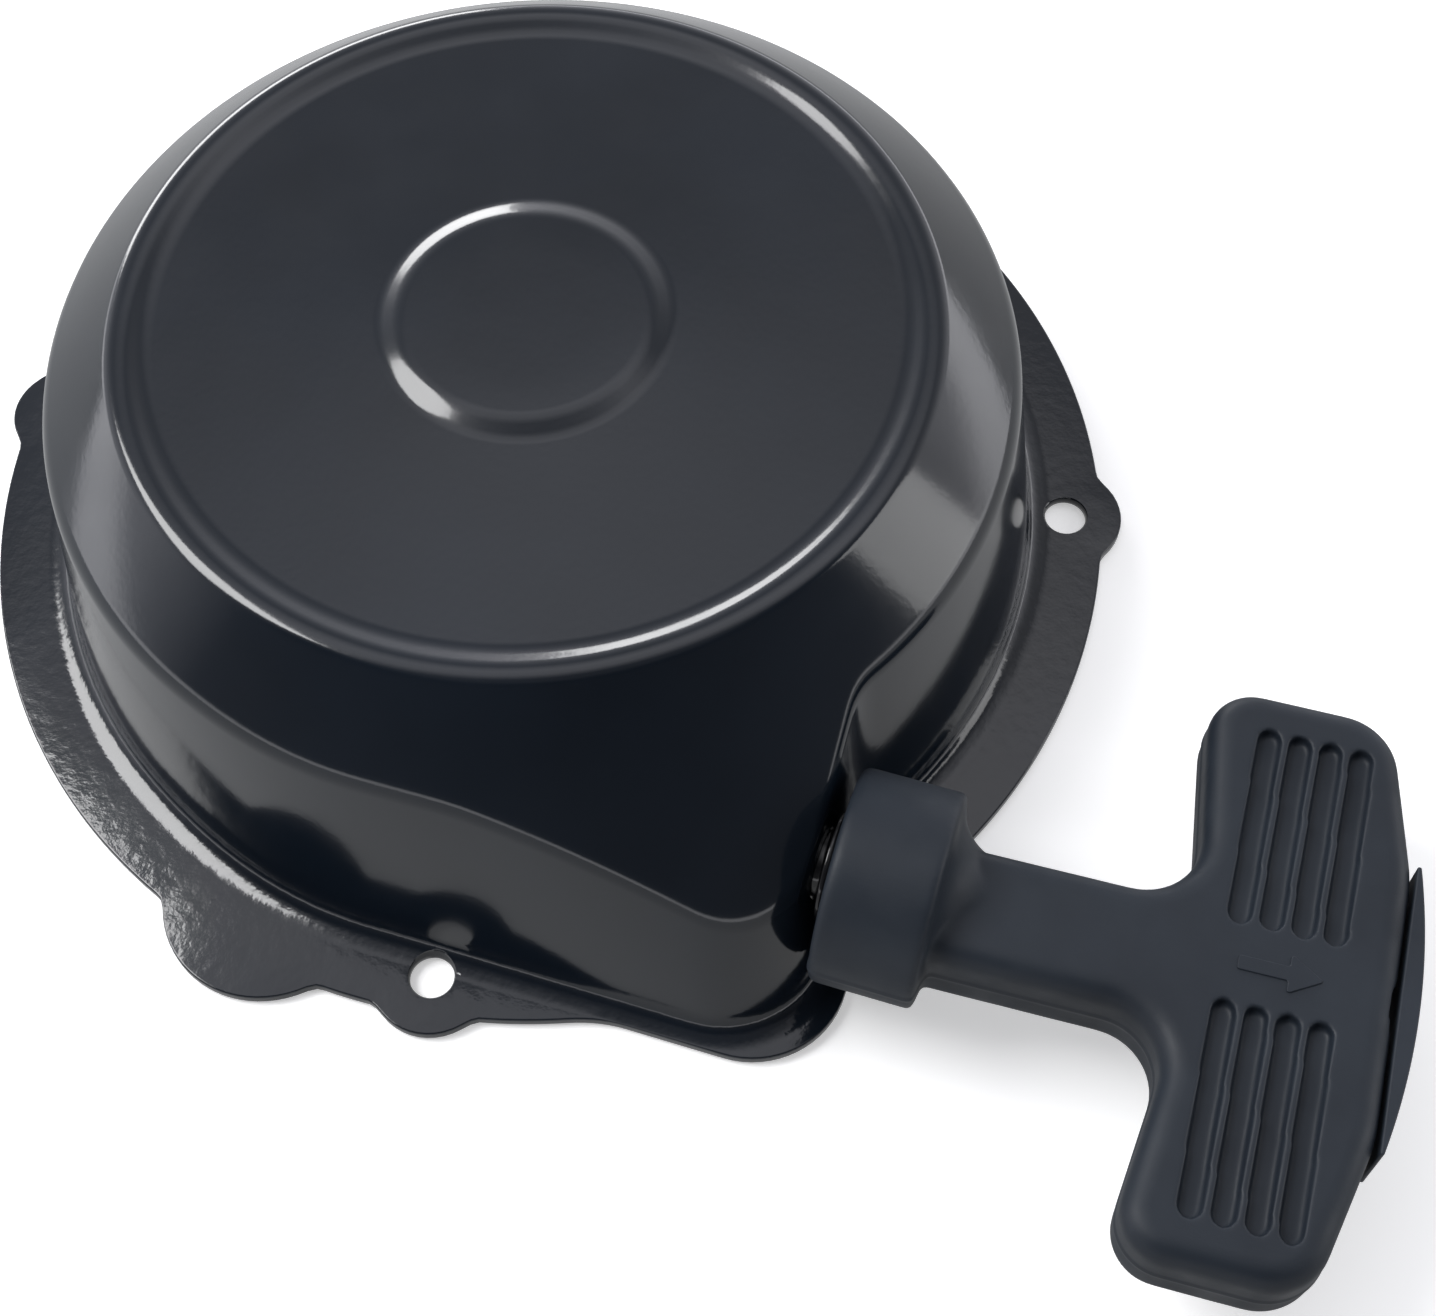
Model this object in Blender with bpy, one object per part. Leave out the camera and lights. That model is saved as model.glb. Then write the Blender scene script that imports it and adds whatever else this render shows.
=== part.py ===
"""Recoil starter for a small engine. Metres, +Z up.

The origin is on the reel's axis in the flange's mounting plane. +Z points to the
closed top of the housing, and the rope pulls out along +X.
"""
import math

import bmesh
import bpy
from mathutils import Vector

MM = 0.001

# Flange and bolt holes
FLANGE_R = 95.0
FLANGE_T = 1.8
HOLE_PITCH_R = 89.0
HOLE_R = 3.5
HOLE_ANGLES = (14.6, 100.0, 185.0, -82.5)
LUG_R = 9.5
TAB_ANGLE, TAB_CENTRE_R, TAB_R = -102.0, 85.5, 16.7
# Housing
SHEET = 1.6
TOP_Z = 53.54
RIM_Z = 54.9
CONE_SLOPE = 0.955
CONE_R = 64.6
SHOULDER_R = 77.2
BASE_R = 82.0
# Volute nose, where the rope leaves: exit flank at +X, side flank at -Y
NOSE_SHOULDER = (65.2, 77.0, 14.0)
NOSE_BASE = (67.6, 83.2, 15.0)
NOSE_FLANGE = (73.4, 87.0, 15.0)
NOSE_FADE = 12.0  # how the side flank runs out past -Y, in mm per radian squared
# Rope
ROPE_Y, ROPE_Z, ROPE_R = -61.0, 22.0, 2.5
GUIDE_HOLE_R = 5.6
# Reel
GROOVE_R, REEL_R = 48.5, 68.0
# Handle
GRIP_X, GRIP_YAW, YAW_PIVOT_X = 133.0, 2.1, 105.0
GRIP_Y, GRIP_Z = -62.3, 21.4
GRIP_HALF_LENGTH, GRIP_HALF_THICK = 44.3, 8.0
BOOT_X0, BOOT_R = 68.3, 16.4
BOOT_Y, BOOT_Z = -61.6, 21.4
# Pawls
PAWL_PIVOT_R, PAWL_LENGTH, PAWL_ANGLE = 25.0, 19.0, 107.5
PAWL_SWING, GUIDE_TURN = -30.0, -35.0
PEG_DISTANCE, PEG_R = 9.0, 1.5

for old in list(bpy.data.objects):
    bpy.data.objects.remove(old, do_unlink=True)


def material(name, colour, rough, metal=0.0):
    found = bpy.data.materials.get(name)
    if found:
        return found
    made = bpy.data.materials.new(name)
    made.use_nodes = True
    shader = made.node_tree.nodes["Principled BSDF"]
    shader.inputs["Base Color"].default_value = (*colour, 1.0)
    shader.inputs["Roughness"].default_value = rough
    shader.inputs["Metallic"].default_value = metal
    return made


PAINT = material("paint", (0.02, 0.028, 0.038), 0.25)
STEEL = material("steel", (0.55, 0.55, 0.53), 0.35, 1.0)
SPRING = material("spring_steel", (0.20, 0.21, 0.24), 0.3, 1.0)
NYLON = material("reel_nylon", (0.05, 0.05, 0.052), 0.5)
GUIDE = material("guide_plastic", (0.012, 0.012, 0.013), 0.15)
RUBBER = material("grip_rubber", (0.045, 0.052, 0.062), 0.65)
ROPE = material("rope_braid", (0.62, 0.62, 0.58), 0.85)


def finish(name, bm, mat, at=(0.0, 0.0, 0.0)):
    """Makes the object from points in millimetres, with its origin at `at`."""
    bmesh.ops.recalc_face_normals(bm, faces=bm.faces[:])
    for vert in bm.verts:
        vert.co = (vert.co - Vector(at)) * MM
    mesh = bpy.data.meshes.new(name)
    bm.to_mesh(mesh)
    bm.free()
    mesh.materials.append(mat)
    mesh.shade_smooth()
    mesh.set_sharp_from_angle(angle=math.radians(35))
    obj = bpy.data.objects.new(name, mesh)
    obj.location = Vector(at) * MM
    bpy.context.scene.collection.objects.link(obj)
    return obj


def cut(obj, cutter, how="DIFFERENCE"):
    cutter.hide_render = True
    cutter.display_type = "WIRE"
    made = obj.modifiers.new("cut", "BOOLEAN")
    made.operation = how
    made.object = cutter


def skin(bm, rings, closed):
    """Joins rings of points; a ring of one point is a pole. closed joins the last ring to the first."""
    pairs = list(zip(rings, rings[1:]))
    if closed:
        pairs.append((rings[-1], rings[0]))
    for a, b in pairs:
        n = max(len(a), len(b))
        for i in range(n):
            j = (i + 1) % n
            if len(a) == 1:
                bm.faces.new((a[0], b[i], b[j]))
            elif len(b) == 1:
                bm.faces.new((a[i], b[0], a[j]))
            else:
                bm.faces.new((a[i], b[i], b[j], a[j]))


def turned(name, profile, sides, mat, at=(0, 0, 0), axis="Z", centre=(0, 0, 0), lobes=None):
    """A turned solid from (radius, height) points. Radius 0 is a pole."""
    bm = bmesh.new()
    rings = []
    for level, (r, h) in enumerate(profile):
        count = 1 if r == 0 else sides
        ring = []
        for i in range(count):
            a = 2 * math.pi * i / sides
            q = r * (lobes(a, level) if lobes else 1.0)
            x, y = q * math.cos(a), q * math.sin(a)
            p = (x, y, h) if axis == "Z" else (h, x, y)
            ring.append(bm.verts.new(Vector(p) + Vector(centre)))
        rings.append(ring)
    skin(bm, rings, closed=profile[0][0] != 0)
    return finish(name, bm, mat, at)


def prism(name, outline, z0, z1, mat, at=(0, 0, 0)):
    bm = bmesh.new()
    low = [bm.verts.new((x, y, z0)) for x, y in outline]
    high = [bm.verts.new((x, y, z1)) for x, y in outline]
    bm.faces.new(low[::-1])
    bm.faces.new(high)
    skin(bm, [low, high], closed=False)
    return finish(name, bm, mat, at)


def filleted(corners, steps=5):
    """A polygon of (x, y, radius) corners, each rounded by its radius."""
    out = []
    n = len(corners)
    for i, (x, y, radius) in enumerate(corners):
        p = Vector((x, y))
        if radius == 0:
            out.append((x, y))
            continue
        a = (Vector(corners[i - 1][:2]) - p).normalized()
        b = (Vector(corners[(i + 1) % n][:2]) - p).normalized()
        half = math.acos(max(-1, min(1, a.dot(b)))) / 2
        reach = radius / math.tan(half)
        mid = p + (a + b).normalized() * (radius / math.sin(half))
        start, end = p + a * reach - mid, p + b * reach - mid
        turn = start.angle_signed(end)
        for k in range(steps + 1):
            t = -turn * k / steps
            out.append(
                (
                    mid.x + start.x * math.cos(t) - start.y * math.sin(t),
                    mid.y + start.x * math.sin(t) + start.y * math.cos(t),
                )
            )
    return out


def circle_hit(a, cx, cy, radius):
    """How far along direction a the far side of a circle is, or 0."""
    along = cx * math.cos(a) + cy * math.sin(a)
    inside = radius**2 - cx**2 - cy**2 + along**2
    return along + math.sqrt(inside) if inside > 0 else 0.0


def corner_hit(a, box):
    """How far along direction a the rounded corner of the nose is, or 0."""
    x_exit, y_side, radius = box
    c, s = math.cos(a), math.sin(a)
    if c <= 0 and s < 0:
        return y_side - NOSE_FADE * math.atan2(-c, -s) ** 2
    if c <= 0 or s >= -0.02:
        return 0.0
    at_exit, at_side = x_exit / c, y_side / -s
    if -at_exit * s < y_side - radius:
        return at_exit
    if at_side * c < x_exit - radius:
        return at_side
    return circle_hit(a, x_exit - radius, radius - y_side, radius)


def soft_max(p, q, k):
    h = max(k - abs(p - q), 0.0) / k
    return max(p, q) + h * h * k / 4


def cone_z(r):
    return RIM_Z - CONE_SLOPE * (r - CONE_R)


def shoulder_r(a):
    return soft_max(SHOULDER_R, corner_hit(a, NOSE_SHOULDER), 2.0)


def base_r(a):
    return soft_max(BASE_R, corner_hit(a, NOSE_BASE), 2.0)


def flange_r(a):
    r = soft_max(FLANGE_R, corner_hit(a, NOSE_FLANGE), 2.0)
    for angle in HOLE_ANGLES:
        t = math.radians(angle)
        r = soft_max(r, circle_hit(a, HOLE_PITCH_R * math.cos(t), HOLE_PITCH_R * math.sin(t), LUG_R), 1.5)
    t = math.radians(TAB_ANGLE)
    return soft_max(r, circle_hit(a, TAB_CENTRE_R * math.cos(t), TAB_CENTRE_R * math.sin(t), TAB_R), 1.5)


def housing_angles():
    """Every 5 degrees, and closer round the nose and the bolt lugs."""
    chosen = {round(5.0 * i - 180, 2) for i in range(72)}
    chosen |= {round(-97.5 + 2.5 * i, 2) for i in range(30)}
    for angle in HOLE_ANGLES[:3]:
        chosen |= {round(2.5 * round(angle / 2.5) + d - (360 if angle > 180 else 0), 2) for d in (-5.0, -2.5, 0.0, 2.5, 5.0)}
    return [math.radians(a) for a in sorted(chosen)]


def housing_levels(a):
    """(radius, height) points from the top's centre, over the outside, round the flange and back inside."""
    s, b, f = shoulder_r(a), base_r(a), flange_r(a)
    zs = cone_z(s)
    foot = min(b + 3.4, f - 0.7)
    return [
        (19.8, TOP_Z + 1.3), (22.7, TOP_Z), (59.0, TOP_Z), (61.6, RIM_Z), (63.7, RIM_Z), (65.4, cone_z(65.4)),
        (s - 1.8, cone_z(s - 1.8)), (s + 0.2, zs - 1.3), (b, 5.6), ((b + foot) / 2 - 0.5, 2.9), (foot, FLANGE_T),
        (f, FLANGE_T), (f, 0.0), (min(b + 2.2, foot - 0.6), 0.0), (b - 1.4, 2.6), (b - SHEET, 5.0),
        (s - 1.5, zs - 2.4), (s - 3.0, cone_z(s - 3.0) - 2.2), (64.4, 52.9), (60.0, 51.9),
    ]


def housing():
    bm = bmesh.new()
    angles = housing_angles()
    columns = [housing_levels(a) for a in angles]
    rings = [[bm.verts.new((0, 0, TOP_Z + 1.3))]]
    for level in range(len(columns[0])):
        rings.append(
            [bm.verts.new((c[level][0] * math.cos(a), c[level][0] * math.sin(a), c[level][1])) for a, c in zip(angles, columns)]
        )
    rings.append([bm.verts.new((0, 0, 51.9))])
    skin(bm, rings, closed=False)
    shell = finish("housing_shell", bm, PAINT)
    for i, angle in enumerate(HOLE_ANGLES):
        t = math.radians(angle)
        centre = (HOLE_PITCH_R * math.cos(t), HOLE_PITCH_R * math.sin(t), 0)
        hole = turned(f"bolt_hole_cutter_{i}", [(0, 5), (HOLE_R, 5), (HOLE_R, -5), (0, -5)], 16, PAINT, centre=centre)
        cut(shell, hole)
    hole = turned(
        "guide_hole_cutter", [(0, 74), (GUIDE_HOLE_R, 74), (GUIDE_HOLE_R, 58), (0, 58)], 16, PAINT,
        axis="X", centre=(0, ROPE_Y, ROPE_Z),
    )
    cut(shell, hole)
    return shell


def spiral(name, r0, r1, turns, per_turn, thick, z0, z1, mat, at=(0, 0, 0)):
    """A flat strip wound edge-on: one rectangle for each step along the spiral."""
    bm = bmesh.new()
    count = int(turns * per_turn) + 1
    rings = []
    for i in range(count):
        a = 2 * math.pi * i / per_turn
        r = r0 + (r1 - r0) * i / (count - 1)
        c, s = math.cos(a), math.sin(a)
        rings.append([bm.verts.new((q * c, q * s, z)) for q, z in ((r, z0), (r + thick, z0), (r + thick, z1), (r, z1))])
    skin(bm, rings, closed=False)
    bm.faces.new(rings[0])
    bm.faces.new(rings[-1])
    return finish(name, bm, mat, at)


def tube(name, points, radius, resolution, mat, at=(0, 0, 0)):
    curve = bpy.data.curves.new(name, "CURVE")
    curve.dimensions = "3D"
    curve.bevel_depth = radius * MM
    curve.bevel_resolution = resolution
    curve.use_fill_caps = True
    line = curve.splines.new("POLY")
    line.points.add(len(points) - 1)
    for point, xyz in zip(line.points, points):
        point.co = (*((Vector(xyz) - Vector(at)) * MM), 1)
    curve.materials.append(mat)
    obj = bpy.data.objects.new(name, curve)
    obj.location = Vector(at) * MM
    bpy.context.scene.collection.objects.link(obj)
    return obj


def pawl_parts(side):
    """The pawl, its pin and its spring. side 0 is at +X, and side 1 is the same turned half round."""
    tag = "ab"[side]
    flip = -1.0 if side else 1.0
    pivot = (flip * PAWL_PIVOT_R, 0.0, 14.0)

    def on(x, y):
        return (flip * (PAWL_PIVOT_R + x), flip * y)

    way = math.radians(PAWL_ANGLE)
    u, w = Vector((math.cos(way), math.sin(way))), Vector((-math.sin(way), math.cos(way)))
    outline = []
    for i in range(9):
        t = way + math.radians(90 + 22.5 * i)
        outline.append(on(5.4 * math.cos(t), 5.4 * math.sin(t)))
    tip = u * PAWL_LENGTH
    for along, across in ((0.0, -2.4), (1.6, -0.8), (0.4, 2.6), (-3.5, 3.2)):
        p = tip + u * along + w * across
        outline.append(on(p.x, p.y))
    body = prism(f"pawl_{tag}", outline, 11.9, 16.0, STEEL, pivot)
    hole = turned(f"pawl_hole_cutter_{tag}", [(0, 18), (2.4, 18), (2.4, 10), (0, 10)], 12, STEEL, centre=(pivot[0], 0, 0))
    cut(body, hole)
    peg_at = u * PEG_DISTANCE
    x, y = on(peg_at.x, peg_at.y)
    peg = turned(f"pawl_peg_{tag}_join", [(0, 13), (PEG_R, 13), (PEG_R, 9.9), (0, 9.9)], 10, STEEL, centre=(x, y, 0))
    cut(body, peg, "UNION")
    turned(
        f"pawl_pin_{tag}", [(0, 23.6), (2.0, 23.6), (2.0, 11.6), (3.6, 11.6), (3.6, 10.4 + 1.0), (0, 11.4)], 12, STEEL,
        centre=(pivot[0], 0, 0),
    )
    points = []
    for i in range(15):
        t = math.radians(-60 + 24 * i)
        points.append((*on(3.7 * math.cos(t), 3.7 * math.sin(t)), 16.75))
    end = math.radians(-60 + 24 * 14)
    points.append((*on(3.7 * math.cos(end) + 5.5 * -math.sin(end), 3.7 * math.sin(end) + 5.5 * math.cos(end)), 16.75))
    tube(f"pawl_spring_{tag}", points, 0.32, 1, SPRING)


def guide_slot(side):
    """The path that the pawl's peg takes across the guide, widened by the peg and its clearance."""
    flip = -1.0 if side else 1.0
    path = []
    for i in range(-1, 10):
        t = i / 8
        swing = math.radians(PAWL_ANGLE + PAWL_SWING * t)
        x = PAWL_PIVOT_R + PEG_DISTANCE * math.cos(swing)
        y = PEG_DISTANCE * math.sin(swing)
        turn = math.radians(-GUIDE_TURN * t)
        path.append(Vector((flip * (x * math.cos(turn) - y * math.sin(turn)), flip * (x * math.sin(turn) + y * math.cos(turn)))))
    half = PEG_R + 0.5
    left, right = [], []
    for i, p in enumerate(path):
        ahead = path[min(i + 1, len(path) - 1)] - path[max(i - 1, 0)]
        normal = Vector((-ahead.y, ahead.x)).normalized() * half
        left.append(tuple(p + normal))
        right.append(tuple(p - normal))
    return left + right[::-1]


def reel_parts():
    profile = [
        (7.3, 17.4), (REEL_R, 17.4), (REEL_R, 19.2), (GROOVE_R, 19.2), (GROOVE_R, 24.8), (REEL_R, 24.8), (REEL_R, 26.6),
        (53.2, 26.6), (53.2, 45.6), (47.0, 45.6), (47.0, 30.6), (7.3, 30.6),
    ]
    reel = turned("reel", profile, 48, NYLON)
    keeper = turned("spring_keeper", [(13.5, 47.1), (52.6, 47.1), (52.6, 45.9), (13.5, 45.9)], 40, STEEL)
    for i in range(3):
        t = math.radians(30 + 120 * i)
        centre = (50.1 * math.cos(t), 50.1 * math.sin(t), 0)
        hole = turned(f"screw_hole_cutter_{i}", [(0, 48), (1.8, 48), (1.8, 38.5), (0, 38.5)], 12, STEEL, centre=centre)
        cut(reel, hole)
        cut(keeper, hole)
        turned(
            f"keeper_screw_{'abc'[i]}", [(0, 49.4), (2.4, 49.4), (3.0, 48.6), (3.0, 47.4), (1.45, 47.4), (1.45, 39.0), (0, 39.0)],
            12, STEEL, centre=centre,
        )
    for side in (0, 1):
        centre = ((-1.0 if side else 1.0) * PAWL_PIVOT_R, 0, 0)
        cut(reel, turned(f"pin_hole_cutter_{side}", [(0, 24), (2.3, 24), (2.3, 16), (0, 16)], 12, NYLON, centre=centre))
        pawl_parts(side)
    turned("reel_bush", [(6.3, 30.3), (7.0, 30.3), (7.0, 17.7), (6.3, 17.7)], 24, GUIDE)
    turned("rope_coil", [(49.0, 24.2), (57.4, 24.2), (58.2, 22.9), (58.2, 21.1), (57.4, 19.8), (49.0, 19.8)], 48, ROPE)


def fixed_parts():
    turned(
        "centre_post",
        [(0, 51.6), (18, 51.6), (18, 49.4), (10.5, 49.4), (10.5, 31.2), (6.0, 31.2), (6.0, 7.7), (4.0, 7.7), (4.0, 28), (0, 28)],
        24, STEEL,
    )
    spiral("recoil_spring", 11.0, 44.6, 6, 20, 0.9, 32.0, 44.4, SPRING)
    guide = turned("pawl_guide", [(7.0, 11.2), (34.0, 11.2), (34.0, 9.7), (7.0, 9.7)], 36, STEEL)
    for side in (0, 1):
        cut(guide, prism(f"slot_cutter_{side}", guide_slot(side), 8, 13, STEEL))
    bm = bmesh.new()
    rings = []
    for r, dz in ((7.2, 0.25), (11.0, 0.25), (11.0, -0.25), (7.2, -0.25)):
        ring = []
        for i in range(36):
            a = 2 * math.pi * i / 36
            ring.append(bm.verts.new((r * math.cos(a), r * math.sin(a), 8.55 + 0.5 * math.cos(3 * a) + dz)))
        rings.append(ring)
    skin(bm, rings, closed=True)
    finish("friction_spring", bm, SPRING)
    turned("thrust_washer", [(4.4, 7.4), (12.5, 7.4), (12.5, 6.5), (4.4, 6.5)], 28, STEEL)

    def hexagon(a, level):
        if level not in (5, 6):
            return 1.0
        return math.cos(math.pi / 6) / math.cos((a % (math.pi / 3)) - math.pi / 6)

    turned(
        "centre_screw",
        [(0, 27.0), (3.6, 27.0), (3.6, 6.2), (8.8, 6.2), (8.8, 5.0), (7.4, 4.6), (7.4, 0.0), (0, 0.0)], 24, STEEL, lobes=hexagon,
    )
    turned(
        "rope_guide",
        [(3.1, 67.95), (7.6, 67.95), (8.0, 67.6), (8.0, 66.95), (5.2, 66.95), (5.2, 61.5), (3.1, 61.5)], 20, GUIDE,
        axis="X", centre=(0, ROPE_Y, ROPE_Z),
    )


def grip_point(u, v):
    """A point of the handle's own plan, u along the pull and v across it, in the frame."""
    t = math.radians(GRIP_YAW)
    x, y = GRIP_X + u - YAW_PIVOT_X, v
    return (YAW_PIVOT_X + x * math.cos(t) - y * math.sin(t), GRIP_Y + x * math.sin(t) + y * math.cos(t))


def handle_parts():
    on_axis = (BOOT_X0, ROPE_Y, ROPE_Z)
    h = GRIP_HALF_LENGTH
    corners = [
        (-58, -10.1, 0), (-12.4, -10.1, 9), (-16.6, -h, 7), (11.0, -h, 9), (16.6, -20, 24), (16.6, 20, 24), (11.0, h, 9),
        (-16.6, h, 7), (-12.4, 8.5, 9), (-58, 8.5, 0),
    ]
    outline = [grip_point(u, v) for u, v in filleted(corners)]
    grip = prism("handle_grip", outline, GRIP_Z - GRIP_HALF_THICK, GRIP_Z + GRIP_HALF_THICK, RUBBER, on_axis)
    edge = grip.modifiers.new("edge", "BEVEL")
    edge.width = 3.0 * MM
    edge.segments = 3
    edge.limit_method = "ANGLE"
    edge.angle_limit = math.radians(50)
    boot = turned(
        "boot_join",
        [(0, BOOT_X0), (15.0, BOOT_X0), (BOOT_R, 69.6), (BOOT_R, 82.2), (14.9, 84.2), (11.6, 85.8), (9.4, 89.4), (8.0, 93.0), (0, 93.0)],
        32, RUBBER, axis="X", centre=(0, BOOT_Y, BOOT_Z),
    )
    cut(grip, boot, "UNION")
    cut(grip, turned("rope_channel_cutter", [(0, 140), (4.3, 140), (4.3, 60), (0, 60)], 12, RUBBER, axis="X", centre=(0, ROPE_Y, ROPE_Z)))
    cut(grip, turned("knot_pocket_cutter", [(0, 160), (6.0, 160), (6.0, 137.6), (0, 137.6)], 16, RUBBER, axis="X", centre=(0, ROPE_Y, ROPE_Z)))
    turned("knot_washer", [(2.8, 139.2), (5.6, 139.2), (5.6, 138.0), (2.8, 138.0)], 16, STEEL, on_axis, "X", (0, ROPE_Y, ROPE_Z))
    turned(
        "rope_knot", [(0, 148.0), (2.6, 147.4), (4.8, 144.8), (4.8, 142.6), (3.2, 140.2), (0, 139.8)], 14, ROPE, on_axis, "X",
        (0, ROPE_Y, ROPE_Z),
    )
    tube(
        "rope_lead", [(0.6 + (139.3 - 0.6) * i / 10, ROPE_Y, ROPE_Z) for i in range(11)], ROPE_R, 2, ROPE, on_axis,
    )
    inner, outer = [], []
    for i in range(13):
        v = -22.0 + 44.0 * i / 12
        inner.append((17.0, v))
        outer.append((19.9 - 2.3 * (v / 22.0) ** 2, v))
    outline = [grip_point(u, v) for u, v in inner + outer[::-1]]
    prism("handle_cap", outline, GRIP_Z - 6.6, GRIP_Z + 6.6, GUIDE, on_axis)


housing()
fixed_parts()
reel_parts()
handle_parts()
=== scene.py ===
"""Recoil starter: fine meshes, materials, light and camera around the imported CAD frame."""
import math

import bmesh
import bpy
import numpy as np
from mathutils import Matrix, Vector


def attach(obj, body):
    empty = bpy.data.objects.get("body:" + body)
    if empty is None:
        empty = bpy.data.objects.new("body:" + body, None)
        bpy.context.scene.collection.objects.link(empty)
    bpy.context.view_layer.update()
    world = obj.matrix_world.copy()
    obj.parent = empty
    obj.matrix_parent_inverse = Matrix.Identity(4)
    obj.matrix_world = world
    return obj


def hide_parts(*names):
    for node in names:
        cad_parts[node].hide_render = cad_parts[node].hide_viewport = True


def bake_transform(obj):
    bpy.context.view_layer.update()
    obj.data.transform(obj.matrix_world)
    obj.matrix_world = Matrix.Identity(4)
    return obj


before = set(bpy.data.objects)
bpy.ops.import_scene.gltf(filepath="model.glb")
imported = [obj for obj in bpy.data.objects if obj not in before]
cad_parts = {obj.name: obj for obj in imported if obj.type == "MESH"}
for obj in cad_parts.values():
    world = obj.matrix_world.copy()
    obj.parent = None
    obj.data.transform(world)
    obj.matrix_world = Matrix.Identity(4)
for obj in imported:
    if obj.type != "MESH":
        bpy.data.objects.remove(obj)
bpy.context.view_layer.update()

MM = 0.001
FLANGE_R, FLANGE_T, HOLE_PITCH_R, HOLE_R = 95.0, 1.8, 89.0, 3.5
HOLE_ANGLES = (14.6, 100.0, 185.0, -82.5)
LUG_R = 9.5
TAB_ANGLE, TAB_CENTRE_R, TAB_R = -102.0, 85.5, 16.7
SHEET, TOP_Z, RIM_Z, CONE_SLOPE, CONE_R = 1.6, 53.54, 54.9, 0.955, 64.6
SHOULDER_R, BASE_R = 77.2, 82.0
NOSE_FADE = 12.0
NOSE_SHOULDER, NOSE_BASE, NOSE_FLANGE = (65.2, 77.0, 14.0), (67.6, 83.2, 15.0), (73.4, 87.0, 15.0)
ROPE_Y, ROPE_Z, ROPE_R = -61.0, 22.0, 2.5
GRIP_X, GRIP_YAW, YAW_PIVOT_X = 133.0, 2.1, 105.0
GRIP_Y, GRIP_Z = -62.3, 21.4
BOOT_Y, BOOT_Z = -61.6, 21.4
GRIP_HALF_LENGTH, GRIP_HALF_THICK = 44.3, 8.0


# ---------------------------------------------------------------- materials
def nodes_of(name, colour, rough, metal=0.0, coat=0.0, spec=0.5):
    m = bpy.data.materials.new(name)
    m.use_nodes = True
    nt = m.node_tree
    b = nt.nodes["Principled BSDF"]
    b.inputs["Base Color"].default_value = (*colour, 1)
    b.inputs["Roughness"].default_value = rough
    b.inputs["Metallic"].default_value = metal
    b.inputs["Coat Weight"].default_value = coat
    b.inputs["Coat Roughness"].default_value = 0.06
    b.inputs["Specular IOR Level"].default_value = spec
    co = nt.nodes.new("ShaderNodeTexCoord")
    return m, nt, b, co.outputs["Object"]


def noise(nt, vec, scale, detail=3.0, rough=0.5):
    n = nt.nodes.new("ShaderNodeTexNoise")
    n.inputs["Scale"].default_value = scale
    n.inputs["Detail"].default_value = detail
    n.inputs["Roughness"].default_value = rough
    nt.links.new(vec, n.inputs["Vector"])
    return n.outputs["Fac"]


def ramp(nt, fac, stops):
    r = nt.nodes.new("ShaderNodeValToRGB")
    els = r.color_ramp.elements
    while len(els) < len(stops):
        els.new(0.5)
    for e, (p, c) in zip(els, stops):
        e.position = p
        e.color = (*c, 1)
    nt.links.new(fac, r.inputs["Fac"])
    return r.outputs["Color"]


def to_range(nt, fac, lo, hi):
    r = nt.nodes.new("ShaderNodeMapRange")
    r.inputs["To Min"].default_value = lo
    r.inputs["To Max"].default_value = hi
    r.inputs["From Min"].default_value = 0.3
    r.inputs["From Max"].default_value = 0.7
    nt.links.new(fac, r.inputs["Value"])
    return r.outputs["Result"]


def bump(nt, shader, heights):
    last = None
    for fac, strength, distance in heights:
        b = nt.nodes.new("ShaderNodeBump")
        b.inputs["Strength"].default_value = strength
        b.inputs["Distance"].default_value = distance * MM
        nt.links.new(fac, b.inputs["Height"])
        if last:
            nt.links.new(last, b.inputs["Normal"])
        last = b.outputs["Normal"]
    nt.links.new(last, shader.inputs["Normal"])
    return last


def paint_material():
    m, nt, b, vec = nodes_of("paint_gloss", (0.004, 0.007, 0.012), 0.24, 0.0, 0.25, 0.5)
    cloud = noise(nt, vec, 28, 4)
    col = ramp(nt, cloud, [(0.35, (0.0032, 0.0058, 0.0100)), (0.65, (0.0050, 0.0084, 0.0140))])
    nt.links.new(col, b.inputs["Base Color"])
    nt.links.new(to_range(nt, noise(nt, vec, 75, 5), 0.11, 0.17), b.inputs["Roughness"])
    # the flange's paint is rippled like leather, and the dome's is only faintly so
    split, mask, ripple = nt.nodes.new("ShaderNodeSeparateXYZ"), nt.nodes.new("ShaderNodeMapRange"), nt.nodes.new("ShaderNodeMath")
    nt.links.new(vec, split.inputs["Vector"])
    nt.links.new(split.outputs["Z"], mask.inputs["Value"])
    for key, value in (("From Min", 0.0025), ("From Max", 0.0065), ("To Min", 1.0), ("To Max", 0.04)):
        mask.inputs[key].default_value = value
    ripple.operation = "MULTIPLY"
    nt.links.new(noise(nt, vec, 430, 3, 0.55), ripple.inputs[0])
    nt.links.new(mask.outputs["Result"], ripple.inputs[1])
    normal = bump(nt, b, [(noise(nt, vec, 900, 2), 0.10, 0.08), (noise(nt, vec, 70, 2), 0.08, 0.25), (ripple.outputs[0], 0.22, 0.30)])
    nt.links.new(normal, b.inputs["Coat Normal"])
    return m


def rubber_material(name="grip_rubber_fine", colour=((0.010, 0.0145, 0.022), (0.015, 0.021, 0.030))):
    m, nt, b, vec = nodes_of(name, colour[0], 0.55, 0.0, 0.0, 0.35)
    col = ramp(nt, noise(nt, vec, 60, 5), [(0.35, colour[0]), (0.68, colour[1])])
    nt.links.new(col, b.inputs["Base Color"])
    nt.links.new(to_range(nt, noise(nt, vec, 160, 4), 0.46, 0.62), b.inputs["Roughness"])
    bump(nt, b, [(noise(nt, vec, 2600, 3), 0.35, 0.05), (noise(nt, vec, 240, 2), 0.10, 0.10)])
    return m


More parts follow.
